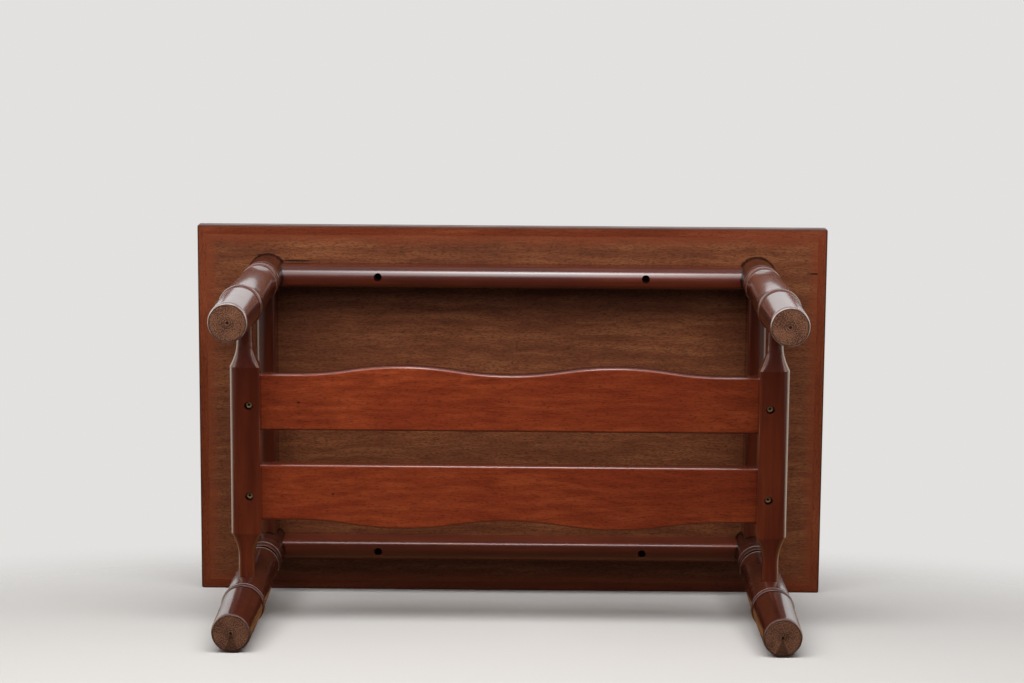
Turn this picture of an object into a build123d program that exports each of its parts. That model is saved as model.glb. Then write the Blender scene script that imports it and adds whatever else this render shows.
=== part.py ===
from build123d import *
import os
from math import sqrt

os.makedirs("parts", exist_ok=True)

# Coffee table: a lipped top on four turned legs, rails under the top, and a shelf of two
# wavy-edged slats on two stretchers. Millimetres, +Z up. The origin is on the floor, under
# the middle of the top. X runs along the table, and the front is at -Y.

# ---------------------------------------------------------------- driving sizes
# whole table
table_length = 760.0
table_depth = 450.0
table_height = 430.0
end_overhang = 84.5  # from a leg's axis to the end of the top
side_overhang = 57.0  # from a leg's axis to the long edge of the top

# top
top_thickness = 20.0
lipping_width = 11.0
veneer_thickness = 0.8
lipping_corner = 2.4  # rounding of the top's corners, seen from above
lower_arris = 2.0
upper_arris = 1.4

# legs, as radii and heights above the floor
foot_radius = 21.5
foot_round_width = 1.9  # the foot's edge is a quarter oval
foot_round_height = 7.0
ankle_radius = 22.8
ring_height = 119.5  # crest of the low ring
ring_below = 5.0  # from its crest down to the cove under it
ring_above = 9.5
ring_proud = 1.8  # over the shaft above it
cove_width = 5.5  # the cove under the low ring
cove_depth = 1.5
shin_radius = 22.6  # just above the low ring
waist_radius = 20.4  # just below the double ring
block_radius = 21.8  # from the double ring up to the top
belly_proud = 1.0  # how far the shaft swells out of a straight taper

# double ring, as drops below the top's underside
bead_drop = 112.0  # crest of its lower bead
bead_below = 20.0
bead_above = 6.0
bead_proud = 1.6  # over the groove between the two beads
collar_drop = 89.0  # crest of its upper bead
collar_below = 8.0
collar_above = 9.0
collar_proud = 2.4
groove_radius = 20.5
neck_groove_radius = 20.8  # the cove between the collar and the block
block_drop = 66.0  # where the plain block starts
lathe_hole_radius = 1.4
lathe_hole_depth = 6.0

# rails under the top
rail_thickness = 25.0
rail_height = 40.0
rail_outer_round = 17.0
rail_inner_round = 5.0
cope_gap = 0.1  # between a rail's hollowed end and the round leg

# dowels between rails and legs
dowel_radius = 4.0
dowel_in_rail = 20.0
dowel_axis_gap = 4.5  # a dowel stops this far short of the leg's axis
dowel_pitch = 15.0
long_rail_dowel_drop = 9.0
end_rail_dowel_drop = 17.0
dowel_fit = 0.05
dowel_end_gap = 0.5

# stretchers
stretcher_bottom = 150.0
stretcher_thickness = 24.0
stretcher_width = 34.0
stretcher_outer_round = 11.0
stretcher_inner_round = 3.5
shoulder_inset = 11.0  # from the slat's outer edge to the start of the shoulder
cove_length = 28.0
cove_steps = 5
neck_radius = 9.25
tenon_axis_gap = 7.0  # the tenon stops this far short of the leg's axis
socket_fit = 0.05
socket_end_gap = 0.5

# shelf slats
shelf_gap = 39.0  # between the two slats
slat_width = 64.5  # where the outer edge is straight
slat_thickness = 18.0
slat_arris = 3.0
slat_corner = 4.0
slat_end_inset = 3.25  # from the stretcher's outer side to the slat's end
wave_end = 69.0  # straight stretch at each end of the wavy edge
wave_height = 9.5

# screws
screw_radius = 2.1
screw_head_radius = 3.9
screw_head_height = 3.0
screw_head_round = 1.6
screw_point = 4.0
cross_length = 4.6
cross_width = 1.1
cross_depth = 1.5
head_clearance = 0.85
shank_clearance = 0.25
thread_clearance = 0.05
pilot_end_gap = 0.5
slat_screw_recess = 10.0
slat_screw_bite = 13.0
slat_screw_inboard = 4.5  # from the stretcher's axis towards the middle of the table
top_screw_recess = 16.0
top_screw_bite = 14.0
top_screw_spacing = 320.0

# ---------------------------------------------------------------- derived places
leg_x = table_length / 2 - end_overhang
leg_y = table_depth / 2 - side_overhang
underside = table_height - top_thickness
rail_bottom = underside - rail_height
stretcher_axis_z = stretcher_bottom + stretcher_thickness / 2
stretcher_top = stretcher_bottom + stretcher_thickness
slat_inner_y = shelf_gap / 2
slat_outer_y = slat_inner_y + slat_width
slat_screw_y = (slat_inner_y + slat_outer_y) / 2
slat_screw_x = leg_x - slat_screw_inboard
slat_half_length = leg_x + stretcher_width / 2 - slat_end_inset
shoulder_y = slat_outer_y + shoulder_inset
bore_radius = screw_radius + shank_clearance
pilot_radius = screw_radius + thread_clearance
counterbore_radius = screw_head_radius + head_clearance


def save(builder, name):
    builder.part.label = name
    export_step(builder.part, f"parts/{name}.step")


# ---------------------------------------------------------------- top
core_length = table_length - 2 * lipping_width
core_depth = table_depth - 2 * lipping_width
core_thickness = top_thickness - 2 * veneer_thickness

with BuildPart() as underside_veneer:
    with BuildSketch(Plane.XY.offset(underside)):
        Rectangle(core_length, core_depth)
        with GridLocations(top_screw_spacing, 2 * leg_y, 2, 2):
            Circle(pilot_radius, mode=Mode.SUBTRACT)
    extrude(amount=veneer_thickness)
save(underside_veneer, "underside_veneer")

with BuildPart() as top_core:
    with BuildSketch(Plane.XY.offset(underside + veneer_thickness)):
        Rectangle(core_length, core_depth)
    extrude(amount=core_thickness)
    with BuildSketch(Plane.XY.offset(underside)):
        with GridLocations(top_screw_spacing, 2 * leg_y, 2, 2):
            Circle(pilot_radius)
    extrude(amount=top_screw_bite + pilot_end_gap, mode=Mode.SUBTRACT)
save(top_core, "top_core")

with BuildPart() as top_veneer:
    with BuildSketch(Plane.XY.offset(table_height - veneer_thickness)):
        Rectangle(core_length, core_depth)
    extrude(amount=veneer_thickness)
save(top_veneer, "top_veneer")


def lipping_face(half_run, half_across):
    # Mitred strip along the first axis, its outer edge at minus half_across.
    corner_run = half_run - lipping_corner
    corner_across = half_across - lipping_corner
    mitre_reach = lipping_corner / sqrt(2)
    with BuildSketch() as face:
        with BuildLine():
            Line((-corner_run, -half_across), (corner_run, -half_across))
            RadiusArc(
                (corner_run, -half_across),
                (corner_run + mitre_reach, -corner_across - mitre_reach),
                -lipping_corner,
            )
            Polyline(
                (corner_run + mitre_reach, -corner_across - mitre_reach),
                (half_run - lipping_width, -half_across + lipping_width),
                (-half_run + lipping_width, -half_across + lipping_width),
                (-corner_run - mitre_reach, -corner_across - mitre_reach),
            )
            RadiusArc(
                (-corner_run - mitre_reach, -corner_across - mitre_reach),
                (-corner_run, -half_across),
                -lipping_corner,
            )
        make_face()
    return face.sketch


def soften_arrises(strip, along, outward):
    # Round the lower and the upper outer arris, round the corners too.
    for level, radius in ((0, lower_arris), (-1, upper_arris)):
        rim = strip.faces().sort_by(Axis.Z)[level].edges()
        corners = rim.filter_by(GeomType.CIRCLE)
        fillet(corners + rim.filter_by(along).sort_by(outward)[:1], radius)


with BuildPart() as lipping_front:
    with BuildSketch(Plane.XY.offset(underside)):
        add(lipping_face(table_length / 2, table_depth / 2))
    extrude(amount=top_thickness)
    soften_arrises(lipping_front, Axis.X, Axis.Y)
save(lipping_front, "lipping_front")

with BuildPart() as lipping_back:
    mirror(lipping_front.part, about=Plane.XZ)
save(lipping_back, "lipping_back")

with BuildPart() as lipping_left:
    with BuildSketch(Plane(origin=(0, 0, underside), x_dir=(0, -1, 0), z_dir=(0, 0, 1))):
        add(lipping_face(table_depth / 2, table_length / 2))
    extrude(amount=top_thickness)
    soften_arrises(lipping_left, Axis.Y, Axis.X)
save(lipping_left, "lipping_left")

with BuildPart() as lipping_right:
    mirror(lipping_left.part, about=Plane.YZ)
save(lipping_right, "lipping_right")

# ---------------------------------------------------------------- legs
ring_low = ring_height - ring_below
ring_high = ring_height + ring_above
ring_root = ankle_radius - cove_depth
ring_radius = shin_radius + ring_proud
bead_height = underside - bead_drop
bead_low = bead_height - bead_below
bead_radius = groove_radius + bead_proud
collar_height = underside - collar_drop
collar_low = collar_height - collar_below
collar_high = collar_height + collar_above
collar_radius = groove_radius + collar_proud
block_low = underside - block_drop
flare_middle = (waist_radius + (bead_radius - waist_radius) / 3, bead_height - bead_below / 2)
shaft_middle = ((shin_radius + waist_radius) / 2 + belly_proud, (ring_high + bead_low) / 2)
leg_axis = Axis((-leg_x, -leg_y, 0), (0, 0, 1))
leg_plane = Plane(origin=(-leg_x, -leg_y, 0), x_dir=(1, 0, 0), z_dir=(0, -1, 0))
long_dowel_drops = [long_rail_dowel_drop, long_rail_dowel_drop + dowel_pitch]
end_dowel_drops = [end_rail_dowel_drop, end_rail_dowel_drop + dowel_pitch]
dowel_hole_start = dowel_axis_gap - dowel_end_gap
dowel_hole_depth = block_radius + cope_gap + dowel_in_rail + dowel_end_gap - dowel_hole_start
leg_to_right = Plane(origin=(-leg_x, -leg_y, underside), x_dir=(0, 1, 0), z_dir=(1, 0, 0))
leg_to_back = Plane(origin=(-leg_x, -leg_y, underside), x_dir=(-1, 0, 0), z_dir=(0, 1, 0))
socket_start = tenon_axis_gap - socket_end_gap

with BuildPart() as leg_front_left:
    with BuildSketch(leg_plane):
        with BuildLine():
            Line((0, 0), (foot_radius - foot_round_width, 0))
            EllipticalCenterArc(
                (foot_radius - foot_round_width, foot_round_height),
                foot_round_width, foot_round_height, start_angle=-90, arc_size=90,
            )
            Line((foot_radius, foot_round_height), (ankle_radius, ring_low - cove_width))
            EllipticalCenterArc(
                (ankle_radius, ring_low), cove_depth, cove_width, start_angle=-90, arc_size=-90
            )
            EllipticalCenterArc(
                (ring_root, ring_height), ring_radius - ring_root, ring_below,
                start_angle=-90, arc_size=90,
            )
            EllipticalCenterArc(
                (shin_radius, ring_height), ring_proud, ring_above, start_angle=0, arc_size=90
            )
            ThreePointArc((shin_radius, ring_high), shaft_middle, (waist_radius, bead_low))
            ThreePointArc((waist_radius, bead_low), flare_middle, (bead_radius, bead_height))
            EllipticalCenterArc(
                (groove_radius, bead_height), bead_proud, bead_above, start_angle=0, arc_size=90
            )
            Line((groove_radius, bead_height + bead_above), (groove_radius, collar_low))
            EllipticalCenterArc(
                (groove_radius, collar_height), collar_proud, collar_below, start_angle=-90, arc_size=90
            )
            EllipticalCenterArc(
                (neck_groove_radius, collar_height), collar_radius - neck_groove_radius, collar_above,
                start_angle=0, arc_size=90,
            )
            EllipticalCenterArc(
                (block_radius, collar_high), block_radius - neck_groove_radius, block_low - collar_high,
                start_angle=180, arc_size=-90,
            )
            Line((block_radius, block_low), (block_radius, underside))
            Line((block_radius, underside), (0, underside))
            Line((0, underside), (0, 0))
        make_face()
    revolve(axis=leg_axis)
    # lathe centre in the foot
    with BuildSketch(Plane(origin=(-leg_x, -leg_y, 0))):
        Circle(lathe_hole_radius)
    extrude(amount=lathe_hole_depth, mode=Mode.SUBTRACT)
    # socket for the stretcher's tenon
    with BuildSketch(leg_to_back.offset(socket_start)):
        with Locations((0, stretcher_axis_z - underside)):
            Circle(neck_radius + socket_fit)
    extrude(amount=2 * foot_radius, mode=Mode.SUBTRACT)
    # dowel holes for the long rail and the end rail
    with BuildSketch(leg_to_right.offset(dowel_hole_start)):
        with Locations(*[(0, -drop) for drop in long_dowel_drops]):
            Circle(dowel_radius + dowel_fit)
    extrude(amount=dowel_hole_depth, mode=Mode.SUBTRACT)
    with BuildSketch(leg_to_back.offset(dowel_hole_start)):
        with Locations(*[(0, -drop) for drop in end_dowel_drops]):
            Circle(dowel_radius + dowel_fit)
    extrude(amount=dowel_hole_depth, mode=Mode.SUBTRACT)
save(leg_front_left, "leg_front_left")

with BuildPart() as leg_front_right:
    mirror(leg_front_left.part, about=Plane.YZ)
save(leg_front_right, "leg_front_right")

with BuildPart() as leg_back_left:
    mirror(leg_front_left.part, about=Plane.XZ)
save(leg_back_left, "leg_back_left")

with BuildPart() as leg_back_right:
    mirror(leg_back_left.part, about=Plane.YZ)
save(leg_back_right, "leg_back_right")


# ---------------------------------------------------------------- rails
def rail_section():
    # Outer side towards +x of the sketch, upper face along its x axis.
    with Locations((0, -rail_height / 2)):
        Rectangle(rail_thickness, rail_height)
    fillet(vertices().group_by(Axis.X)[-1].sort_by(Axis.Y)[0], rail_outer_round)
    fillet(vertices().group_by(Axis.X)[0].sort_by(Axis.Y)[0], rail_inner_round)


top_screw_seat = rail_bottom + top_screw_recess

with BuildPart() as rail_front:
    with BuildSketch(Plane(origin=(leg_x, -leg_y, underside), x_dir=(0, -1, 0), z_dir=(-1, 0, 0))):
        rail_section()
    extrude(amount=2 * leg_x)
    # ends hollowed to sit against the round legs
    with BuildSketch(Plane.XY.offset(rail_bottom)):
        with Locations((-leg_x, -leg_y), (leg_x, -leg_y)):
            Circle(block_radius + cope_gap)
    extrude(amount=rail_height, mode=Mode.SUBTRACT)
    with BuildSketch(leg_to_right.offset(dowel_hole_start)):
        with Locations(*[(0, -drop) for drop in long_dowel_drops]):
            Circle(dowel_radius + dowel_fit)
    rail_hole = extrude(amount=dowel_hole_depth, mode=Mode.SUBTRACT)
    mirror(rail_hole, about=Plane.YZ, mode=Mode.SUBTRACT)
    # screw holes that hold the top
    for x in (-top_screw_spacing / 2, top_screw_spacing / 2):
        with BuildSketch(Plane(origin=(x, -leg_y, rail_bottom))):
            Circle(counterbore_radius)
        extrude(amount=top_screw_recess, mode=Mode.SUBTRACT)
        with BuildSketch(Plane(origin=(x, -leg_y, rail_bottom))):
            Circle(bore_radius)
        extrude(amount=rail_height, mode=Mode.SUBTRACT)
save(rail_front, "rail_front")

with BuildPart() as rail_back:
    mirror(rail_front.part, about=Plane.XZ)
save(rail_back, "rail_back")

with BuildPart() as rail_left:
    with BuildSketch(Plane(origin=(-leg_x, -leg_y, underside), x_dir=(-1, 0, 0), z_dir=(0, 1, 0))):
        rail_section()
    extrude(amount=2 * leg_y)
    with BuildSketch(Plane.XY.offset(rail_bottom)):
        with Locations((-leg_x, -leg_y), (-leg_x, leg_y)):
            Circle(block_radius + cope_gap)
    extrude(amount=rail_height, mode=Mode.SUBTRACT)
    with BuildSketch(leg_to_back.offset(dowel_hole_start)):
        with Locations(*[(0, -drop) for drop in end_dowel_drops]):
            Circle(dowel_radius + dowel_fit)
    rail_hole = extrude(amount=dowel_hole_depth, mode=Mode.SUBTRACT)
    mirror(rail_hole, about=Plane.XZ, mode=Mode.SUBTRACT)
save(rail_left, "rail_left")

with BuildPart() as rail_right:
    mirror(rail_left.part, about=Plane.YZ)
save(rail_right, "rail_right")

dowel_length = block_radius + cope_gap + dowel_in_rail - dowel_axis_gap

with BuildPart() as rail_dowels:
    with BuildSketch(leg_to_right.offset(dowel_axis_gap)):
        with Locations(*[(0, -drop) for drop in long_dowel_drops]):
            Circle(dowel_radius)
    extrude(amount=dowel_length)
    with BuildSketch(leg_to_back.offset(dowel_axis_gap)):
        with Locations(*[(0, -drop) for drop in end_dowel_drops]):
            Circle(dowel_radius)
    extrude(amount=dowel_length)
    mirror(about=Plane.YZ)
    mirror(about=Plane.XZ)
save(rail_dowels, "rail_dowels")


# ---------------------------------------------------------------- stretchers
def stretcher_section(fullness):
    # Outer side towards +x of the sketch. 1 is the full bar, and less draws in to the neck.
    half_width = neck_radius + fullness * (stretcher_width / 2 - neck_radius)
    half_thickness = neck_radius + fullness * (stretcher_thickness / 2 - neck_radius)
    outer_round = neck_radius + fullness * (stretcher_outer_round - neck_radius)
    inner_round = neck_radius + fullness * (stretcher_inner_round - neck_radius)
    Rectangle(2 * half_width, 2 * half_thickness)
    fillet(vertices().group_by(Axis.X)[-1], outer_round)
    fillet(vertices().group_by(Axis.X)[0], inner_round)


stretcher_plane = Plane(origin=(-leg_x, 0, stretcher_axis_z), x_dir=(-1, 0, 0), z_dir=(0, 1, 0))
slat_screw_seat = stretcher_bottom + slat_screw_recess

with BuildPart() as stretcher_left:
    with BuildSketch(stretcher_plane):
        stretcher_section(1)
    extrude(amount=shoulder_y)
    # cove from the shoulder down to the neck
    for step in range(cove_steps):
        with BuildSketch(stretcher_plane.offset(shoulder_y + cove_length * step / cove_steps)):
            stretcher_section((1 - step / cove_steps) ** 2)
    with BuildSketch(stretcher_plane.offset(shoulder_y + cove_length)):
        Circle(neck_radius)
    loft()
    with BuildSketch(stretcher_plane.offset(shoulder_y + cove_length)):
        Circle(neck_radius)
    extrude(amount=leg_y - tenon_axis_gap - shoulder_y - cove_length)
    with BuildSketch(Plane(origin=(-slat_screw_x, slat_screw_y, stretcher_bottom))):
        Circle(counterbore_radius)
    extrude(amount=slat_screw_recess, mode=Mode.SUBTRACT)
    with BuildSketch(Plane(origin=(-slat_screw_x, slat_screw_y, stretcher_bottom))):
        Circle(bore_radius)
    extrude(amount=stretcher_thickness, mode=Mode.SUBTRACT)
    mirror(about=Plane.XZ)
save(stretcher_left, "stretcher_left")

with BuildPart() as stretcher_right:
    mirror(stretcher_left.part, about=Plane.YZ)
save(stretcher_right, "stretcher_right")

# ---------------------------------------------------------------- shelf slats
wave_half = slat_half_length - wave_end
wave_run = wave_half / 4
half_wave = wave_height / 2
slat_plane = Plane(origin=(0, -slat_inner_y, stretcher_top), x_dir=(1, 0, 0), z_dir=(0, 0, 1))

with BuildPart() as slat_front:
    with BuildSketch(slat_plane):
        with BuildLine():
            Line((-slat_half_length, 0), (slat_half_length, 0))
            Line((slat_half_length, 0), (slat_half_length, -slat_width))
            Line((slat_half_length, -slat_width), (wave_half, -slat_width))
            TangentArc(
                (wave_half, -slat_width),
                (3 * wave_run, -slat_width - half_wave),
                tangent=(-1, 0),
            )
            ThreePointArc(
                (3 * wave_run, -slat_width - half_wave),
                (2 * wave_run, -slat_width - wave_height),
                (wave_run, -slat_width - half_wave),
            )
            ThreePointArc(
                (wave_run, -slat_width - half_wave),
                (0, -slat_width),
                (-wave_run, -slat_width - half_wave),
            )
            ThreePointArc(
                (-wave_run, -slat_width - half_wave),
                (-2 * wave_run, -slat_width - wave_height),
                (-3 * wave_run, -slat_width - half_wave),
            )
            TangentArc(
                (-wave_half, -slat_width),
                (-3 * wave_run, -slat_width - half_wave),
                tangent=(1, 0),
            )
            Line((-wave_half, -slat_width), (-slat_half_length, -slat_width))
            Line((-slat_half_length, -slat_width), (-slat_half_length, 0))
        make_face()
        fillet(vertices().group_by(Axis.X)[0], slat_corner)
        fillet(vertices().group_by(Axis.X)[-1], slat_corner)
    extrude(amount=slat_thickness)
    fillet(slat_front.faces().filter_by(Axis.Z).edges(), slat_arris)
    with BuildSketch(Plane.XY.offset(stretcher_top)):
        with Locations((-slat_screw_x, -slat_screw_y), (slat_screw_x, -slat_screw_y)):
            Circle(pilot_radius)
    extrude(amount=slat_screw_bite + pilot_end_gap, mode=Mode.SUBTRACT)
save(slat_front, "slat_front")

with BuildPart() as slat_back:
    mirror(slat_front.part, about=Plane.XZ)
save(slat_back, "slat_back")


# ---------------------------------------------------------------- screws
def screw_solids(x, y, seat, grip):
    # Pan-head wood screw pointing up, its head seated at the given height.
    with BuildPart() as screw:
        with BuildSketch(Plane(origin=(x, y, seat), x_dir=(1, 0, 0), z_dir=(0, -1, 0))):
            with BuildLine():
                Line((0, grip), (0, -screw_head_height))
                Line((0, -screw_head_height), (screw_head_radius - screw_head_round, -screw_head_height))
                RadiusArc(
                    (screw_head_radius - screw_head_round, -screw_head_height),
                    (screw_head_radius, screw_head_round - screw_head_height),
                    -screw_head_round,
                )
                Line((screw_head_radius, screw_head_round - screw_head_height), (screw_head_radius, 0))
                Line((screw_head_radius, 0), (screw_radius, 0))
                Line((screw_radius, 0), (screw_radius, grip - screw_point))
                Line((screw_radius, grip - screw_point), (0, grip))
            make_face()
        revolve(axis=Axis((x, y, 0), (0, 0, 1)))
        with BuildSketch(Plane(origin=(x, y, seat - screw_head_height))):
            Rectangle(cross_length, cross_width)
            Rectangle(cross_width, cross_length)
        extrude(amount=cross_depth, mode=Mode.SUBTRACT)
    return screw.part


slat_screw_grip = stretcher_top - slat_screw_seat + slat_screw_bite
slat_screw_solid = screw_solids(-slat_screw_x, -slat_screw_y, slat_screw_seat, slat_screw_grip)
with BuildPart() as slat_screws:
    add(slat_screw_solid)
    mirror(about=Plane.YZ)
    mirror(about=Plane.XZ)
save(slat_screws, "slat_screws")

top_screw_grip = underside - top_screw_seat + top_screw_bite
top_screw_solid = screw_solids(-top_screw_spacing / 2, -leg_y, top_screw_seat, top_screw_grip)
with BuildPart() as top_screws:
    add(top_screw_solid)
    mirror(about=Plane.YZ)
    mirror(about=Plane.XZ)
save(top_screws, "top_screws")
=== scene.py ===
import math

import bpy
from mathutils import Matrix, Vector


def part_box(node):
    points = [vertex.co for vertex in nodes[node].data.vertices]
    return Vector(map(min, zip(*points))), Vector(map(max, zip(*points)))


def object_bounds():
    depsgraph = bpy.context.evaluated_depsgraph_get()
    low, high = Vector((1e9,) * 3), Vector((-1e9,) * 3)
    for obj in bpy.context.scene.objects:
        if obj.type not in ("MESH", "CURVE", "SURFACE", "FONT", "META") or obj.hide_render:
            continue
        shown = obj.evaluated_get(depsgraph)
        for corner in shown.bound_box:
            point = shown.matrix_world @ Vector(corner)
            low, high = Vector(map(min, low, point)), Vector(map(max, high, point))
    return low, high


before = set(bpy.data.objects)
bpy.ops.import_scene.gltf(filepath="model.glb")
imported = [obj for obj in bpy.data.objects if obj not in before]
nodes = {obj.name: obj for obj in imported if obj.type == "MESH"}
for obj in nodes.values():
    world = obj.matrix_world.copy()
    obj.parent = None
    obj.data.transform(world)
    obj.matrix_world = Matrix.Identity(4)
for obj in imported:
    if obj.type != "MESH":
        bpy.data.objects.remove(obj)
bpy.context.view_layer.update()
print("frame loaded:", len(nodes), "nodes")

mm = 0.001
scene = bpy.context.scene
scene.view_settings.view_transform = "Standard"

# Where the pieces are, read from the frame.
tableLow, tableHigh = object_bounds()
legLow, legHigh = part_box("leg_back_right")
legAxis = (legLow + legHigh) / 2
slatLow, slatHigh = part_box("slat_back")
veneerLow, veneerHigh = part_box("underside_veneer")


def toLinear(hexColour):
    channels = [int(hexColour[i:i + 2], 16) / 255 for i in (1, 3, 5)]
    return [c / 12.92 if c <= 0.04045 else ((c + 0.055) / 1.055) ** 2.4 for c in channels] + [1.0]


def grey(value):
    return [value, value, value, 1.0]


def addNode(tree, kind, values=None, links=None, stops=None, **settings):
    # Adds a shader node: settings on the node, values on its sockets, links into them, stops on its ramp.
    # A link comes from a socket, or from a node, which then gives its first live output.
    # By number, MapRange turns what socket 0 reads, from 1 to 2, into 3 to 4, and Mix goes by 0 from 6 to 7
    # in colours or from 2 to 3 in values. Noise mostly lies between 0.3 and 0.7, so what reads it does too.
    node = tree.nodes.new("ShaderNode" + kind)
    for name, setting in settings.items():
        setattr(node, name, setting)
    for socket, value in (values or {}).items():
        node.inputs[socket].default_value = value
    for socket, source in (links or {}).items():
        if isinstance(source, bpy.types.Node):
            source = next(output for output in source.outputs if output.enabled)
        tree.links.new(source, node.inputs[socket])
    if stops:
        elements = node.color_ramp.elements
        while len(elements) < len(stops):
            elements.new(1.0)
        for element, (place, colour) in zip(elements, stops):
            element.position, element.color = place, colour
    return node


def newMaterial(name):
    material = bpy.data.materials.new(name)
    material.use_nodes = True
    material.node_tree.nodes.clear()
    coords = addNode(material.node_tree, "TexCoord").outputs["Object"]
    return material, material.node_tree, coords


def paint(material, *names):
    for name in names:
        nodes[name].material_slots[0].material = material


def alongFibre(tree, coords, fibre, length, width):
    # Coordinates with a pattern's length along the fibres and its width across them as units, both in mm.
    scale = [1 / (width * mm)] * 3
    scale["XYZ".index(fibre)] = 1 / (length * mm)
    return addNode(tree, "Mapping", {"Scale": scale}, {"Vector": coords})


def fromCorner(tree, coords, x, y):
    # The table is symmetric, so one quarter of it stands for all four.
    folded = addNode(tree, "VectorMath", links={0: coords}, operation="ABSOLUTE")
    return addNode(tree, "VectorMath", {1: [x, y, 0]}, {0: folded}, operation="SUBTRACT")


def fromAxis(tree, coords, x, y):
    # Distance from the upright axis at this place, or at its mirrored places.
    folded = fromCorner(tree, coords, x, y)
    level = addNode(tree, "VectorMath", {1: [1, 1, 0]}, {0: folded}, operation="MULTIPLY")
    return addNode(tree, "VectorMath", links={0: level}, operation="LENGTH")


def pastOutline(tree, coords, corner):
    # Distance past the two sides that meet in this corner of a rectangle, and less than nothing inside it.
    axes = addNode(tree, "SeparateXYZ", links={0: fromCorner(tree, coords, corner.x, corner.y)}).outputs
    return addNode(tree, "Math", links={0: axes["X"], 1: axes["Y"]}, operation="MAXIMUM")


def band(tree, measured, place, inner, outer, share=1.0, fall="LINEAR"):
    # The share within inner of the place, falling to nothing at outer. Sizes in mm.
    away = addNode(tree, "Math", {1: place * mm}, {0: measured}, operation="SUBTRACT")
    away = addNode(tree, "Math", links={0: away}, operation="ABSOLUTE")
    return addNode(tree, "MapRange", {1: inner * mm, 2: outer * mm, 3: share, 4: 0.0}, {0: away},
                   interpolation_type=fall)


def woodColour(tree, coords, wood):
    # The wood's colour, and its pores, which are 1 in a pore.
    length, reach = wood["bend"]
    bend = addNode(tree, "TexNoise", {"Scale": 1 / (length * mm), "Detail": 1.0}, {"Vector": coords})
    bend = addNode(tree, "VectorMath", {1: [0.5, 0.5, 0.5]}, {0: bend.outputs["Color"]}, operation="SUBTRACT")
    bend = addNode(tree, "VectorMath", {"Scale": reach * mm}, {0: bend}, operation="SCALE")
    bent = addNode(tree, "VectorMath", links={0: coords, 1: bend}, operation="ADD")

    pattern = {}
    for name, detail in (("figure", 3.0), ("streak", 4.0), ("pore", 1.0), ("cloud", 2.0)):
        stretched = alongFibre(tree, bent, wood["fibre"], *wood[name])
        pattern[name] = addNode(tree, "TexNoise", {"Scale": 1.0, "Detail": detail}, {"Vector": stretched})

    colour = addNode(tree, "ValToRGB", links={0: pattern["figure"]}, stops=[
        (0.34, toLinear(wood["dark"])), (0.5, toLinear(wood["middle"])), (0.66, toLinear(wood["light"]))])
    clouded = addNode(tree, "MapRange", {1: 0.35, 2: 0.68, 4: wood["cloudShare"]}, {0: pattern["cloud"]})
    colour = addNode(tree, "Mix", {7: toLinear(wood["cloudy"])}, {0: clouded, 6: colour}, data_type="RGBA")
    streaks = addNode(tree, "ValToRGB", links={0: pattern["streak"]}, stops=[
        (0.3, grey(1 - wood["streakShade"])), (0.5, grey(1.0)), (0.7, grey(1 + wood["streakShade"] / 2))])
    colour = addNode(tree, "Mix", {0: 1.0}, {6: colour, 7: streaks}, data_type="RGBA", blend_type="MULTIPLY")
    pores = addNode(tree, "MapRange", {1: wood["poreStart"], 2: wood["poreStart"] + wood["poreEdge"]},
                    {0: pattern["pore"]})
    shaded = addNode(tree, "Math", {1: wood["poreShade"]}, {0: pores}, operation="MULTIPLY")
    colour = addNode(tree, "Mix", {7: toLinear(wood["poreColour"])}, {0: shaded, 6: colour}, data_type="RGBA")
    return colour, pores


# Hands have rubbed the lacquer shinier or duller in patches, and it has sunk into the pores. Sizes in mm.
lacquer = {"ior": 1.5, "patch": 35, "shinier": 0.06, "duller": 0.08, "sunk": 0.12}


def lacquered(tree, coords, colour, pores, finish, turned=None):
    # Lacquer brushed on over stain: it lies slightly uneven, and shines most at a low angle.
    length, width, depth = finish["waves"]
    brushed = alongFibre(tree, coords, finish["fibre"], length, width)
    waves = addNode(tree, "TexNoise", {"Scale": 1.0, "Detail": 2.0}, {"Vector": brushed})
    handled = addNode(tree, "TexNoise", {"Scale": 1 / (lacquer["patch"] * mm), "Detail": 3.0},
                      {"Vector": coords})
    roughness = addNode(tree, "MapRange", {1: 0.3, 2: 0.7, 3: finish["roughness"] - lacquer["shinier"],
                                           4: finish["roughness"] + lacquer["duller"]}, {0: handled})
    under = {"Normal": turned} if turned else {}
    surface = addNode(tree, "Bump", {"Distance": depth * mm}, {"Height": waves, **under})
    surface = addNode(tree, "Bump", {"Strength": finish["poreDepth"], "Distance": lacquer["sunk"] * mm},
                      {"Height": pores, "Normal": surface}, invert=True)
    return addNode(tree, "BsdfPrincipled",
                   {"IOR": lacquer["ior"], "Specular IOR Level": finish["specular"],
                    "Coat IOR": lacquer["ior"], "Coat Weight": finish["coat"],
                    "Coat Roughness": finish["coatRoughness"]},
                   {"Base Color": colour, "Roughness": roughness, "Normal": surface})


# Dirt and glue, and painted contact shade, in a ragged dark line round each leg, where another piece meets
# it.
# Radius and sizes in mm.
jointDirtAndShade = {"colour": "#0E0704", "share": 0.92, "radius": 21.5, "softEdge": 0.5, "ragged": 3.6, "grain": 4}


def legJoint(tree, coords, colour):
    radius = fromAxis(tree, coords, legAxis.x, legAxis.y)
    ragged = addNode(tree, "TexNoise", {"Scale": 1 / (jointDirtAndShade["grain"] * mm), "Detail": 3.0},
                     {"Vector": coords})
    radius = addNode(tree, "Math", {1: -jointDirtAndShade["ragged"] * mm}, {0: ragged, 2: radius},
                     operation="MULTIPLY_ADD")
    line = addNode(tree, "MapRange", {1: (jointDirtAndShade["radius"] - jointDirtAndShade["softEdge"]) * mm,
                                      2: (jointDirtAndShade["radius"] + jointDirtAndShade["softEdge"]) * mm,
                                      3: jointDirtAndShade["share"], 4: 0.0}, {0: radius})
    return addNode(tree, "Mix", {7: toLinear(jointDirtAndShade["colour"])}, {0: line, 6: colour}, data_type="RGBA")


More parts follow.
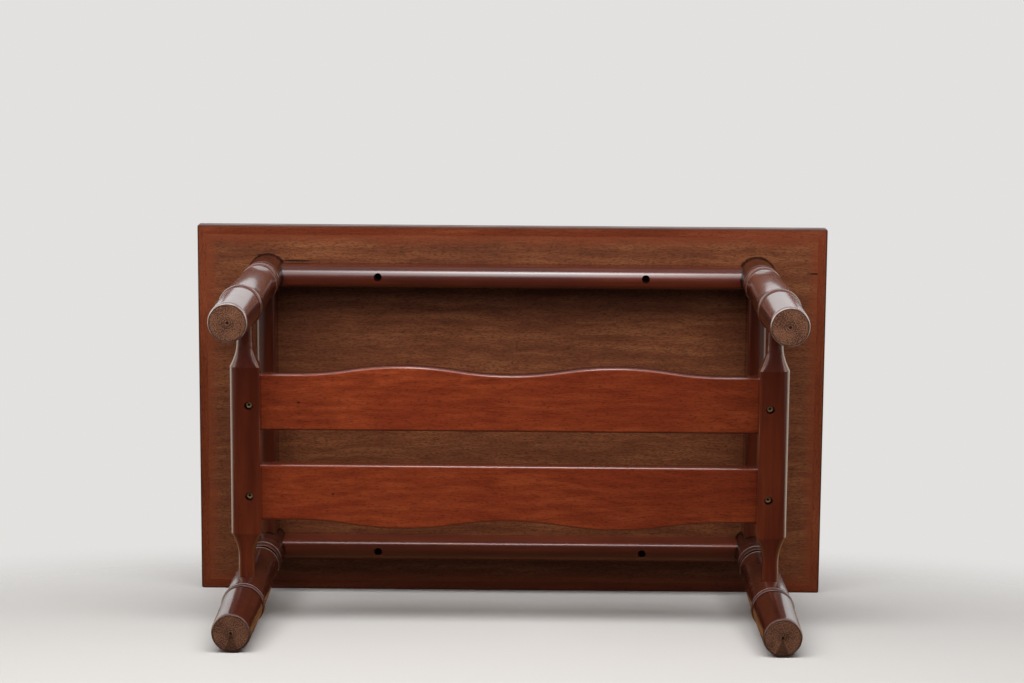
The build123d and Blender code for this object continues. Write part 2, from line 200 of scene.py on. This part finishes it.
def woodMaterial(name, wood):
    material, tree, coords = newMaterial(name)
    colour, pores = woodColour(tree, coords, wood)
    if wood.get("jointed"):
        colour = legJoint(tree, coords, colour)
    shader = lacquered(tree, coords, colour, pores, wood)
    addNode(tree, "OutputMaterial", links={"Surface": shader})
    return material


# Beech, stained dark red-brown and lacquered: an even dark colour with little figure, and long soft shine.
# A pattern is its length along the fibres and its width, bend is the size and reach of the fibres' waves, and
# waves is the length, width and depth of the lacquer's, all in mm. Pores are about twice as coarse as real
# ones, to show at all.
frameWood = {
    "dark": "#44190D", "middle": "#531F10", "light": "#632917", "cloudy": "#561C0E", "cloudShare": 0.6,
    "bend": (90, 5), "figure": (180, 14), "streak": (70, 2.2), "streakShade": 0.16, "cloud": (260, 60),
    "pore": (7, 1.1), "poreColour": "#260D07", "poreStart": 0.66, "poreEdge": 0.07, "poreShade": 0.35,
    "poreDepth": 0.2, "roughness": 0.45, "specular": 0.15, "coat": 1.0, "coatRoughness": 0.13,
    "waves": (40, 5, 0.04),
}
# The rails are painted darker than the stretchers as shade, the end rails darkest, and the front rail lighter
# again as a painted reflection of the floor.
backRailWood = dict(frameWood, jointed=True, fibre="X", dark="#361209", middle="#42170A", light="#501F0F",
                    cloudy="#431509")
frontRailWood = dict(backRailWood, dark="#3E160D", middle="#4B1C12", light="#5A2619", cloudy="#4C1B11",
                     coatRoughness=0.28)
endRailWood = dict(backRailWood, fibre="Y", dark="#300F07", middle="#3A1308", light="#461A0C",
                   cloudy="#3B1208")
stretcherWood = dict(frameWood, fibre="Y", dark="#431609", middle="#501D0F", light="#5D2613",
                     cloudy="#4A180B", cloudShare=0.3)
paint(woodMaterial("back rail, stained and lacquered beech", backRailWood), "rail_back")
paint(woodMaterial("front rail, stained and lacquered beech", frontRailWood), "rail_front")
paint(woodMaterial("end rail, stained and lacquered beech", endRailWood), "rail_left", "rail_right")
paint(woodMaterial("stretcher, stained and lacquered beech", stretcherWood),
      "stretcher_left", "stretcher_right")

# Slats of mahogany, redder and paler under the same stain, with short dark flecks along the grain.
slatWood = dict(frameWood, fibre="X", dark="#722B15", middle="#813519", light="#903F20", cloudy="#742A15",
                cloudShare=0.7, cloud=(120, 60), figure=(50, 7), streak=(14, 1.0), streakShade=0.26,
                pore=(4.5, 0.8), poreColour="#35110A", poreStart=0.58, poreShade=0.5)
# The colour is painted darker on the edges and within this many mm of them, where the surface, once rounded,
# turns from flat to upright, as shade, and darker towards the left end, as a falloff of the light.
slatPaintedShade = {"edgeColour": "#34130A", "edgeShare": 0.75, "edge": 2.2, "flat": 0.95, "upright": 0.5,
             "leftEnd": 0.75, "rightEnd": 1.10}
# Pin knots in the under side, drawn out along the grain: place and radius in mm.
slatKnots = {"colour": "#1E0B06", "share": 0.85, "core": 0.4, "drawnOut": 1.8, "knots": (
    ((237.2, 51.8), 1.6), ((0.6, 54.3), 0.9), ((198.9, -53.1), 1.4), ((256.6, -55.9), 1.0))}


def slatMaterial():
    material, tree, coords = newMaterial("shelf slat, red-stained mahogany")
    colour, pores = woodColour(tree, coords, slatWood)
    # Edges painted darker as shade, where the bevelled normal turns from flat to upright.
    rounded = addNode(tree, "Bevel", {"Radius": slatPaintedShade["edge"] * mm})
    facing = addNode(tree, "SeparateXYZ", links={0: rounded}).outputs["Z"]
    facing = addNode(tree, "Math", links={0: facing}, operation="ABSOLUTE")
    edge = addNode(tree, "MapRange", {1: slatPaintedShade["flat"], 2: slatPaintedShade["upright"],
                                      4: slatPaintedShade["edgeShare"]}, {0: facing})
    colour = addNode(tree, "Mix", {7: toLinear(slatPaintedShade["edgeColour"])}, {0: edge, 6: colour},
                     data_type="RGBA")
    # Darker towards the left end and brighter towards the right: a painted falloff of the light.
    along = addNode(tree, "SeparateXYZ", links={0: coords}).outputs["X"]
    paintedFalloff = addNode(tree, "MapRange", {1: slatLow.x, 2: slatHigh.x, 3: slatPaintedShade["leftEnd"],
                                       4: slatPaintedShade["rightEnd"]}, {0: along})
    colour = addNode(tree, "Mix", {0: 1.0}, {6: colour, 7: paintedFalloff}, data_type="RGBA", blend_type="MULTIPLY")
    narrowed = 1 / slatKnots["drawnOut"]
    for (x, y), radius in slatKnots["knots"]:
        centred = addNode(tree, "Mapping", {"Location": [-x * mm * narrowed, -y * mm, -slatLow.z],
                                            "Scale": [narrowed, 1, 1]}, {"Vector": coords})
        reach = addNode(tree, "VectorMath", links={0: centred}, operation="LENGTH")
        knot = addNode(tree, "MapRange", {1: slatKnots["core"] * radius * mm, 2: radius * mm,
                                          3: slatKnots["share"], 4: 0.0}, {0: reach})
        colour = addNode(tree, "Mix", {7: toLinear(slatKnots["colour"])}, {0: knot, 6: colour},
                         data_type="RGBA")
    shader = lacquered(tree, coords, colour, pores, slatWood)
    addNode(tree, "OutputMaterial", links={"Surface": shader})
    return material


paint(slatMaterial(), "slat_front", "slat_back")

# Lippings of the slats' wood, a little darker and much duller.
lippingWood = dict(slatWood, dark="#632A16", middle="#6D321B", light="#783C23", cloudy="#5C2714",
                   figure=(220, 9), coat=0.25, coatRoughness=0.3)
endLippingWood = dict(lippingWood, fibre="Y")
# The outer edge is darker. Distances in mm from the top's outline.
edgeDarkening = {"colour": "#1E0F09", "share": 0.75, "from": -2.3, "to": -1.1}


def lippingMaterial(name, wood):
    material, tree, coords = newMaterial(name)
    colour, pores = woodColour(tree, coords, wood)
    darkened = addNode(tree, "MapRange", {1: edgeDarkening["from"] * mm, 2: edgeDarkening["to"] * mm,
                                       4: edgeDarkening["share"]}, {0: pastOutline(tree, coords, tableHigh)})
    colour = addNode(tree, "Mix", {7: toLinear(edgeDarkening["colour"])}, {0: darkened, 6: colour}, data_type="RGBA")
    shader = lacquered(tree, coords, colour, pores, wood)
    addNode(tree, "OutputMaterial", links={"Surface": shader})
    return material


paint(lippingMaterial("long lipping, red-stained mahogany", lippingWood), "lipping_front", "lipping_back")
paint(lippingMaterial("end lipping, red-stained mahogany", endLippingWood), "lipping_left", "lipping_right")

# Lauan veneer under a thin coat of stain: orange-brown and nearly matt, with open pores like short dashes.
undersideWood = {
    "fibre": "X", "dark": "#5D321E", "middle": "#6B3C24", "light": "#7B4A2D", "cloudy": "#5E3420",
    "cloudShare": 0.6, "bend": (40, 10), "figure": (90, 8), "streak": (26, 1.3), "streakShade": 0.3,
    "cloud": (170, 60), "pore": (5.0, 0.75), "poreColour": "#2A150B", "poreStart": 0.54, "poreEdge": 0.07,
    "poreShade": 0.6, "poreDepth": 0.35, "roughness": 0.55, "specular": 0.2, "coat": 0.15,
    "coatRoughness": 0.3, "waves": (30, 10, 0.02),
}
# The lippings' redder stain has run inwards in smears. Distances in mm from the veneer's outline.
edgeStain = {"colour": "#71331B", "share": 0.65, "from": -7, "to": 5, "smeared": 14, "smear": 30}
# Splits along the back rail and by an end lipping: place, half length and half width, in mm.
veneerSplits = {"colour": "#140A06", "share": 0.9, "grain": 4, "dark": 1.2, "clear": 1.6, "splits": (
    ((262, 182.2), 24, 1.6), ((-366, 171), 10, 1.3))}


def undersideMaterial():
    material, tree, coords = newMaterial("underside veneer, thinly stained lauan")
    colour, pores = woodColour(tree, coords, undersideWood)
    smears = addNode(tree, "TexNoise", {"Scale": 1 / (edgeStain["smear"] * mm), "Detail": 3.0},
                     {"Vector": coords})
    outer = addNode(tree, "Math", {1: edgeStain["smeared"] * mm},
                    {0: smears, 2: pastOutline(tree, coords, veneerHigh)}, operation="MULTIPLY_ADD")
    run = addNode(tree, "MapRange", {1: edgeStain["from"] * mm, 2: edgeStain["to"] * mm,
                                     4: edgeStain["share"]}, {0: outer})
    colour = addNode(tree, "Mix", {7: toLinear(edgeStain["colour"])}, {0: run, 6: colour}, data_type="RGBA")
    colour = legJoint(tree, coords, colour)
    wavy = addNode(tree, "TexNoise", {"Scale": 1 / (veneerSplits["grain"] * mm), "Detail": 2.0},
                   {"Vector": coords})
    depth = veneerLow.z / mm
    for (x, y), halfLength, halfWidth in veneerSplits["splits"]:
        beside = addNode(tree, "Mapping", {
            "Location": [-x / halfLength, -y / halfWidth, -depth / halfWidth],
            "Scale": [1 / (halfLength * mm), 1 / (halfWidth * mm), 1 / (halfWidth * mm)]}, {"Vector": coords})
        beside = addNode(tree, "VectorMath", links={0: beside}, operation="LENGTH")
        beside = addNode(tree, "Math", links={0: beside, 1: wavy}, operation="ADD")
        split = addNode(tree, "MapRange", {1: veneerSplits["dark"], 2: veneerSplits["clear"],
                                           3: veneerSplits["share"], 4: 0.0}, {0: beside})
        colour = addNode(tree, "Mix", {7: toLinear(veneerSplits["colour"])}, {0: split, 6: colour},
                         data_type="RGBA")
    shader = lacquered(tree, coords, colour, pores, undersideWood)
    addNode(tree, "OutputMaterial", links={"Surface": shader})
    return material


paint(undersideMaterial(), "underside_veneer")

# Mahogany veneer, rubbed to a shine: broad ribbons of figure under a clear gloss.
topWood = dict(frameWood, fibre="X", dark="#511D0F", middle="#682716", light="#7C341F", cloudy="#4A1A0D",
               figure=(320, 26), streak=(120, 2.6), bend=(160, 14), roughness=0.35, coatRoughness=0.07)
paint(woodMaterial("top veneer, polished mahogany", topWood), "top_veneer")

# Bare wood inside, pale and matt: softwood strips in the core, birch dowels.
coreWood = dict(undersideWood, dark="#A98457", middle="#BF9A69", light="#CDAB7B", cloudy="#B18D5F",
                pore=(20, 2.5), poreColour="#8F6C45", coat=0.0, roughness=0.7)
dowelWood = dict(coreWood, middle="#C9A878", light="#D6B98B", cloudy="#C4A272")
paint(woodMaterial("core, softwood strips", coreWood), "top_core")
paint(woodMaterial("dowel, birch", dowelWood), "rail_dowels")

# The turned legs have the frame's finish, with longer waves in the lacquer. The front pair is darker, foot
# ends too, as painted shade, and shows little of the pale rim.
backLegWood = dict(frameWood, fibre="Z", dark="#3C180D", middle="#481D10", light="#562618", cloudy="#4A1A0E",
                   waves=(120, 25, 0.03), footShade=0.92, rimShare=1.0)
frontLegWood = dict(backLegWood, dark="#30120A", middle="#3B160C", light="#482013", cloudy="#3D150C",
                    footShade=0.86, rimShare=0.15, coat=0.82)
# Matt dark paint fills the grooves, a line just beyond the lower ring's crest and the joint under the top:
# painted shade, with some dirt. Dirt lies thinly on the block above the rings. Heights in mm.
legDirtAndShade = {"colour": "#1C0E08", "softEdge": 1.1, "block": (326, 346), "blockShare": 0.3, "grooves": (
    (109.4, 115.4), (121.0, 123.4), (304.6, 312.6), (329.4, 332.8), (408.4, 411.0))}
# The rings' crests are painted pale, partly rubbed wear and partly a painted highlight, and turned fine, so
# they catch a thin line of light. How far they stand out, and each one's height and half width, in mm.
legCrests = {"colour": "#DDD2CE", "share": 0.75, "raised": 1.0, "crests": (
    (119.7, 1.2), (298.0, 1.2), (322.5, 2.2))}
# The foot's end is bare wood, worn grey-brown, with the turning tool's rings round the lathe's centre hole,
# which is drawn dark as painted shade. The end darkens raggedly towards its outline.
foot = {
    "dark": "#26140D", "middle": "#5A3A2B", "light": "#875C45", "speckle": 1.2, "patch": 14,
    "patchShare": 0.2, "roughness": 0.8, "specular": 0.3, "pitted": 0.8, "pits": 0.4, "worn": 0.6,
    "wornLeast": 0.35, "wornEdge": (0.05, 0.25), "hole": (1.52, 1.9), "rings": (3.7, 5.9),
    "ringLine": (0.2, 0.6), "ringFade": 0.07, "ringColour": "#170D08", "outline": (19.6, 21.6),
    "outlineShade": 0.25, "outlineRagged": 3,
}
# Just above it the lacquer is rubbed through to pale wood in patches, less and less up to the second height;
# the pale is partly a painted highlight on the foot's rounded edge.
footRim = {"colour": "#A89C98", "span": (0.7, 3.0), "patchy": (0.42, 0.6), "most": 0.85, "least": 0.25}


def footEnd(tree, coords, patches, footShade):
    grain = addNode(tree, "TexNoise", {"Scale": 1 / (foot["speckle"] * mm), "Detail": 3.0, "Roughness": 0.7},
                    {"Vector": coords})
    speckled = addNode(tree, "Mix", {0: foot["patchShare"]}, {2: grain, 3: patches})
    colour = addNode(tree, "ValToRGB", links={0: speckled}, stops=[
        (0.4, toLinear(foot["dark"])), (0.475, toLinear(foot["middle"])), (0.58, toLinear(foot["light"]))])
    radius = fromAxis(tree, coords, legAxis.x, legAxis.y)
    inner, outer = foot["hole"]
    marks = addNode(tree, "MapRange", {1: inner * mm, 2: outer * mm, 3: 1.0, 4: 0.0}, {0: radius})
    inner, outer = foot["ringLine"]
    for ring in foot["rings"]:
        line = band(tree, radius, ring, inner, outer, 1.0 - foot["ringFade"] * ring)
        marks = addNode(tree, "Math", links={0: marks, 1: line}, operation="MAXIMUM")
    colour = addNode(tree, "Mix", {7: toLinear(foot["ringColour"])}, {0: marks, 6: colour}, data_type="RGBA")
    inner, outer = foot["outline"]
    outward = addNode(tree, "Math", {1: foot["outlineRagged"] * mm}, {0: patches, 2: radius},
                      operation="MULTIPLY_ADD")
    shaded = addNode(tree, "MapRange", {1: inner * mm, 2: outer * mm, 3: footShade, 4: foot["outlineShade"]},
                     {0: outward})
    colour = addNode(tree, "Mix", {0: 1.0}, {6: colour, 7: shaded}, data_type="RGBA", blend_type="MULTIPLY")
    pitted = addNode(tree, "Bump", {"Strength": foot["pitted"], "Distance": foot["pits"] * mm},
                     {"Height": grain})
    return addNode(tree, "BsdfPrincipled",
                   {"Roughness": foot["roughness"], "Specular IOR Level": foot["specular"]},
                   {"Base Color": colour, "Normal": pitted})


def legMaterial(name, wood):
    material, tree, coords = newMaterial(name)
    colour, pores = woodColour(tree, coords, wood)
    height = addNode(tree, "SeparateXYZ", links={0: coords}).outputs["Z"]
    start, end = legDirtAndShade["block"]
    dirtAndShadeShare = addNode(tree, "MapRange", {1: start * mm, 2: end * mm, 4: legDirtAndShade["blockShare"]}, {0: height})
    # Grooves, the line beyond the lower crest and the joint under the top are painted shade, with some dirt.
    for start, end in legDirtAndShade["grooves"]:
        reach = (end - start) / 2
        groove = band(tree, height, start + reach, reach - legDirtAndShade["softEdge"], reach)
        dirtAndShadeShare = addNode(tree, "Math", links={0: dirtAndShadeShare, 1: groove}, operation="MAXIMUM")

    crested, *others = [band(tree, height, crest, 0, halfWidth, fall="SMOOTHSTEP")
                        for crest, halfWidth in legCrests["crests"]]
    for ridge in others:
        crested = addNode(tree, "Math", links={0: crested, 1: ridge}, operation="ADD")
    # The pale on the crests is partly wear, partly a painted highlight.
    rubbedAndHighlit = addNode(tree, "Math", {1: legCrests["share"]}, {0: crested}, operation="MULTIPLY")
    colour = addNode(tree, "Mix", {7: toLinear(legCrests["colour"])}, {0: rubbedAndHighlit, 6: colour},
                     data_type="RGBA")
    turned = addNode(tree, "Bump", {"Distance": legCrests["raised"] * mm}, {"Height": crested})

    # Wear starts from a ragged line near the foot's end.
    patches = addNode(tree, "TexNoise", {"Scale": 1 / (foot["patch"] * mm), "Detail": 2.0},
                      {"Vector": coords})
    ragged = addNode(tree, "Math", {1: foot["worn"] * mm, 2: -foot["wornLeast"] * foot["worn"] * mm},
                     {0: patches}, operation="MULTIPLY_ADD")
    ragged = addNode(tree, "Math", links={0: height, 1: ragged}, operation="SUBTRACT")
    start, end = foot["wornEdge"]
    worn = addNode(tree, "MapRange", {1: start * mm, 2: end * mm, 3: 1.0, 4: 0.0}, {0: ragged})
    # The pale rim is partly wear and partly a painted highlight.
    start, end = footRim["span"]
    rim = addNode(tree, "MapRange", {1: start * mm, 2: end * mm, 3: 1.0, 4: 0.0}, {0: ragged})
    start, end = footRim["patchy"]
    rubbedAndHighlit = addNode(tree, "MapRange", {1: start, 2: end, 3: footRim["most"] * wood["rimShare"],
                                        4: footRim["least"] * wood["rimShare"]}, {0: patches})
    rim = addNode(tree, "Math", links={0: rim, 1: rubbedAndHighlit}, operation="MULTIPLY")
    colour = addNode(tree, "Mix", {7: toLinear(footRim["colour"])}, {0: rim, 6: colour}, data_type="RGBA")

    shader = lacquered(tree, coords, colour, pores, wood, turned)
    dirtAndShade = addNode(tree, "BsdfDiffuse", {"Color": toLinear(legDirtAndShade["colour"])})
    shader = addNode(tree, "MixShader", links={0: dirtAndShadeShare, 1: shader, 2: dirtAndShade})
    bare = footEnd(tree, coords, patches, wood["footShade"])
    shader = addNode(tree, "MixShader", links={0: worn, 1: shader, 2: bare})
    addNode(tree, "OutputMaterial", links={"Surface": shader})
    return material


paint(legMaterial("turned back leg, stained and lacquered beech", backLegWood),
      "leg_back_left", "leg_back_right")
paint(legMaterial("turned front leg, stained and lacquered beech", frontLegWood),
      "leg_front_left", "leg_front_right")

# Steel screws. Those under the shelf have yellowed zinc plate gone brown in patches, and a pale ring on the
# head, partly a painted glint, between dark paint in the cross and round the edge: dirt and painted shade.
# Those up in the rails are painted black as shade in their deep holes.
# Patch, ring and the place of one screw's axis are in mm.
slatScrews = {"clean": "#F6DAA4", "tarnished": "#9C7445", "patch": 2.5, "dirtAndShade": "#0A0604", "roughness": 0.35,
              "shinier": 0.1, "duller": 0.2, "metallic": 0.2, "axis": (291.0, 51.75), "ring": (1.6, 3.1),
              "ringEdge": 0.3}
topScrews = dict(slatScrews, clean="#1C1917", tarnished="#0E0C0B", dirtAndShade="#050404", roughness=0.6,
                 metallic=0.8, axis=(160.0, 168.0), ring=(1.5, 3.5))


def screwMaterial(name, steel):
    material, tree, coords = newMaterial(name)
    tarnish = addNode(tree, "TexNoise", {"Scale": 1 / (steel["patch"] * mm), "Detail": 3.0},
                      {"Vector": coords})
    colour = addNode(tree, "ValToRGB", links={0: tarnish}, stops=[
        (0.46, toLinear(steel["clean"])), (0.66, toLinear(steel["tarnished"]))])
    x, y = steel["axis"]
    radius = fromAxis(tree, coords, x * mm, y * mm)
    inner, outer = steel["ring"]
    # The dark cross and the dark ring round the head's edge are dirt and painted shade.
    cross = addNode(tree, "MapRange", {1: (inner - steel["ringEdge"]) * mm, 2: inner * mm, 3: 1.0, 4: 0.0},
                    {0: radius})
    rim = addNode(tree, "MapRange", {1: outer * mm, 2: (outer + steel["ringEdge"]) * mm}, {0: radius})
    darkened = addNode(tree, "Math", links={0: cross, 1: rim}, operation="MAXIMUM")
    colour = addNode(tree, "Mix", {7: toLinear(steel["dirtAndShade"])}, {0: darkened, 6: colour}, data_type="RGBA")
    roughness = addNode(tree, "MapRange", {1: 0.35, 2: 0.65, 3: steel["roughness"] - steel["shinier"],
                                           4: steel["roughness"] + steel["duller"]}, {0: tarnish})
    shader = addNode(tree, "BsdfPrincipled", {"Metallic": steel["metallic"]},
                     {"Base Color": colour, "Roughness": roughness})
    addNode(tree, "OutputMaterial", links={"Surface": shader})
    return material


paint(screwMaterial("wood screw, tarnished zinc-plated steel", slatScrews), "slat_screws")
paint(screwMaterial("wood screw, steel painted black as shade", topScrews), "top_screws")
print("finishes made:", len(bpy.data.materials))

# Colours of the backdrop and floors. The lacquer mirrors the lying floor as brown, in full from this depth
# towards the top and dim towards the feet, as painted shade. That floor leans by so many degrees, as the
# table does on its front edge.
stage = {
    "pale": "#E3E1DF", "uprightFloor": "#DCDAD7", "lyingFloor": "#C4C1BE", "brownFloor": "#A8784F",
    "brownFrom": 0.25, "dimTo": 0.05, "dim": 0.16, "lean": 4.9, "reach": 2.4,
}


def stageFloor(name, corners, centre, clear, faded, colour, mirrored=None):
    # Matt paper, seen from its front only, and fading into the backdrop from clear to faded, in metres from
    # the centre. It shows in the lacquer only if a mirrored colour is given.
    material, tree, coords = newMaterial("pale matt paper, " + name.replace("_", " "))
    away = addNode(tree, "VectorMath", {1: centre}, {0: coords}, operation="DISTANCE")
    fade = addNode(tree, "MapRange", {1: clear, 2: faded}, {0: away}, interpolation_type="SMOOTHSTEP")
    back = addNode(tree, "NewGeometry").outputs["Backfacing"]
    unseen = addNode(tree, "Math", links={0: fade, 1: back}, operation="MAXIMUM")
    glossy = addNode(tree, "LightPath").outputs["Is Glossy Ray"]
    depth = addNode(tree, "SeparateXYZ", links={0: coords}).outputs["Z"]
    dimmed = addNode(tree, "MapRange", {1: stage["brownFrom"], 2: stage["dimTo"], 3: 1.0, 4: stage["dim"]},
                     {0: depth})
    brown = addNode(tree, "Mix", {0: 1.0, 6: toLinear(mirrored or colour)}, {7: dimmed}, data_type="RGBA",
                    blend_type="MULTIPLY")
    tone = addNode(tree, "Mix", {6: toLinear(colour)}, {0: glossy, 7: brown}, data_type="RGBA")
    matt = addNode(tree, "BsdfDiffuse", links={"Color": tone})
    hole = addNode(tree, "BsdfTransparent")
    shader = addNode(tree, "MixShader", links={0: unseen, 1: matt, 2: hole})
    addNode(tree, "OutputMaterial", links={"Surface": shader})
    mesh = bpy.data.meshes.new(name)
    mesh.from_pydata(corners, [], [(0, 1, 2, 3)])
    mesh.materials.append(material)
    floor = bpy.data.objects.new(name, mesh)
    scene.collection.objects.link(floor)
    for ray in ("diffuse", "transmission", "volume_scatter", "shadow"):
        setattr(floor, "visible_" + ray, False)
    floor.visible_glossy = bool(mirrored)


reach = stage["reach"]
stageFloor("floor_upright", [(-reach, -reach, 0), (reach, -reach, 0), (reach, reach, 0), (-reach, reach, 0)],
           (0, 0, 0), 1.3, reach, stage["uprightFloor"])
# The floor that the table lies on along its front edge, when it is seen from below.
slope = math.tan(math.radians(stage["lean"]))
nearY = tableLow.y + slope * (legHigh.z + reach)
farY = tableLow.y + slope * (legHigh.z - reach)
stageFloor("floor_lying",
           [(-reach, farY, reach), (reach, farY, reach), (reach, nearY, -reach), (-reach, nearY, -reach)],
           (0, tableLow.y, -0.7), 1.05, 1.55, stage["lyingFloor"], stage["brownFloor"])

# Soft panels, named for where they hang: place, point aimed at, size in metres and power in watts.
lamps = {
    "high over the lying table": ((0.1, 1.3, -0.37), (0.05, 0.1, 0.2), (2.4, 0.78), 31),
    "before the lying table": ((0.15, 1.75, -1.6), (0.05, 0, 0.15), (2.8, 2.2), 44),
    "over the standing table": ((0.4, -0.5, 2.3), (0, 0, 0.3), (2.4, 2.4), 45),
    "in front of the standing table": ((-1.2, -2.4, 0.9), (0, 0, 0.2), (1.8, 1.8), 22),
}
for name, (place, aim, size, power) in lamps.items():
    lamp = bpy.data.lights.new(name, "AREA")
    lamp.shape = "RECTANGLE"
    lamp.size, lamp.size_y = size
    lamp.energy = power
    holder = bpy.data.objects.new(name, lamp)
    holder.location = place
    holder.rotation_euler = (Vector(aim) - Vector(place)).to_track_quat("-Z", "Y").to_euler()
    holder.visible_camera = False
    holder.visible_glossy = False
    scene.collection.objects.link(holder)

# What the lacquer mirrors: brightness by degrees up from the wall behind the lying table, over the ceiling
# and down to the room at its feet, and below 0 along the floor's side. The wall is white and the rest dim.
room = {
    "levels": ((-180, 0.1), (-172, 0.2), (-165, 0.35), (-120, 0.2), (-60, 0.06), (-16, 0.1), (-6, 0.5),
               (4, 1.02), (34, 1.15), (52, 0.55), (92, 0.5), (105, 0.5), (150, 0.2), (168, 0.1), (180, 0.07)),
    "evenLight": 0.13,
}
# A row of lamps runs overhead into the room, narrow but with some stray light beside it. Sideways places,
# here and on the walls, are those of a direction one long.
lampRow = {"levels": ((94, 0.0), (102, 8.0), (108, 24.0), (114, 12.0), (132, 8.0), (142, 2.5), (150, 0.0)),
           "sideways": -0.002, "narrow": 0.11, "stray": 0.2}
# Cream walls at both sides, behind the lying table: how far aside and how far behind they begin.
sideWalls = {"colour": "#FFEFD8", "level": 1.7, "from": 0.45, "to": 0.75, "behind": 0.15}


def byDegrees(levels):
    return [((degrees + 180) / 360, grey(level)) for degrees, level in levels]


world = bpy.data.worlds.new("pale studio")
world.use_nodes = True
scene.world = world
tree = world.node_tree
tree.nodes.clear()
rays = addNode(tree, "LightPath").outputs
heading = addNode(tree, "TexCoord").outputs["Generated"]
heading = addNode(tree, "SeparateXYZ", links={0: heading}).outputs
turn = addNode(tree, "Math", links={0: heading["Y"], 1: heading["Z"]}, operation="ARCTAN2")
turn = addNode(tree, "MapRange", {1: -math.pi, 2: math.pi}, {0: turn})
walls = addNode(tree, "ValToRGB", links={0: turn}, stops=byDegrees(room["levels"]))
lampsLit = addNode(tree, "ValToRGB", links={0: turn}, stops=byDegrees(lampRow["levels"]))
aside = addNode(tree, "Math", {1: lampRow["sideways"]}, {0: heading["X"]}, operation="SUBTRACT")
aside = addNode(tree, "Math", links={0: aside}, operation="ABSOLUTE")
narrow = addNode(tree, "MapRange", {2: lampRow["narrow"], 3: 1.0, 4: lampRow["stray"]}, {0: aside},
                 interpolation_type="SMOOTHSTEP")
lampsLit = addNode(tree, "Mix", {0: 1.0}, {6: lampsLit, 7: narrow}, data_type="RGBA", blend_type="MULTIPLY")
across = addNode(tree, "Math", links={0: heading["X"]}, operation="ABSOLUTE")
across = addNode(tree, "MapRange", {1: sideWalls["from"], 2: sideWalls["to"]}, {0: across},
                 interpolation_type="SMOOTHSTEP")
behind = addNode(tree, "MapRange", {1: 0.0, 2: sideWalls["behind"]}, {0: heading["Z"]},
                 interpolation_type="SMOOTHSTEP")
sideWall = addNode(tree, "Math", links={0: across, 1: behind}, operation="MULTIPLY")
sideLight = [channel * sideWalls["level"] for channel in toLinear(sideWalls["colour"])]
walls = addNode(tree, "Mix", {7: sideLight}, {0: sideWall, 6: walls}, data_type="RGBA")
mirrored = addNode(tree, "Mix", {0: 1.0}, {6: walls, 7: lampsLit}, data_type="RGBA", blend_type="ADD")
even = addNode(tree, "Background", {"Color": grey(1.0), "Strength": room["evenLight"]})
seen = addNode(tree, "Background", {"Color": toLinear(stage["pale"]), "Strength": 1.0})
glossy = addNode(tree, "Background", {"Strength": 1.0}, {"Color": mirrored})
lit = addNode(tree, "MixShader", links={0: rays["Is Glossy Ray"], 1: even, 2: glossy})
lit = addNode(tree, "MixShader", links={0: rays["Is Camera Ray"], 1: lit, 2: seen})
addNode(tree, "OutputWorld", links={"Surface": lit})

# The table lies on its front edge, so it is looked at from below its feet, a little from its back side.
viewpoint = {"place": (-0.024, 0.5704, -2.633), "turn": (170.950, -0.502, 179.621), "lens": 89.3,
             "sensor": 36}
cameraData = bpy.data.cameras.new("camera")
cameraData.lens = viewpoint["lens"]
cameraData.sensor_width = viewpoint["sensor"]
camera = bpy.data.objects.new("camera", cameraData)
camera.location = viewpoint["place"]
camera.rotation_euler = [math.radians(angle) for angle in viewpoint["turn"]]
scene.collection.objects.link(camera)
scene.camera = camera
print("stage, lamps and camera set")
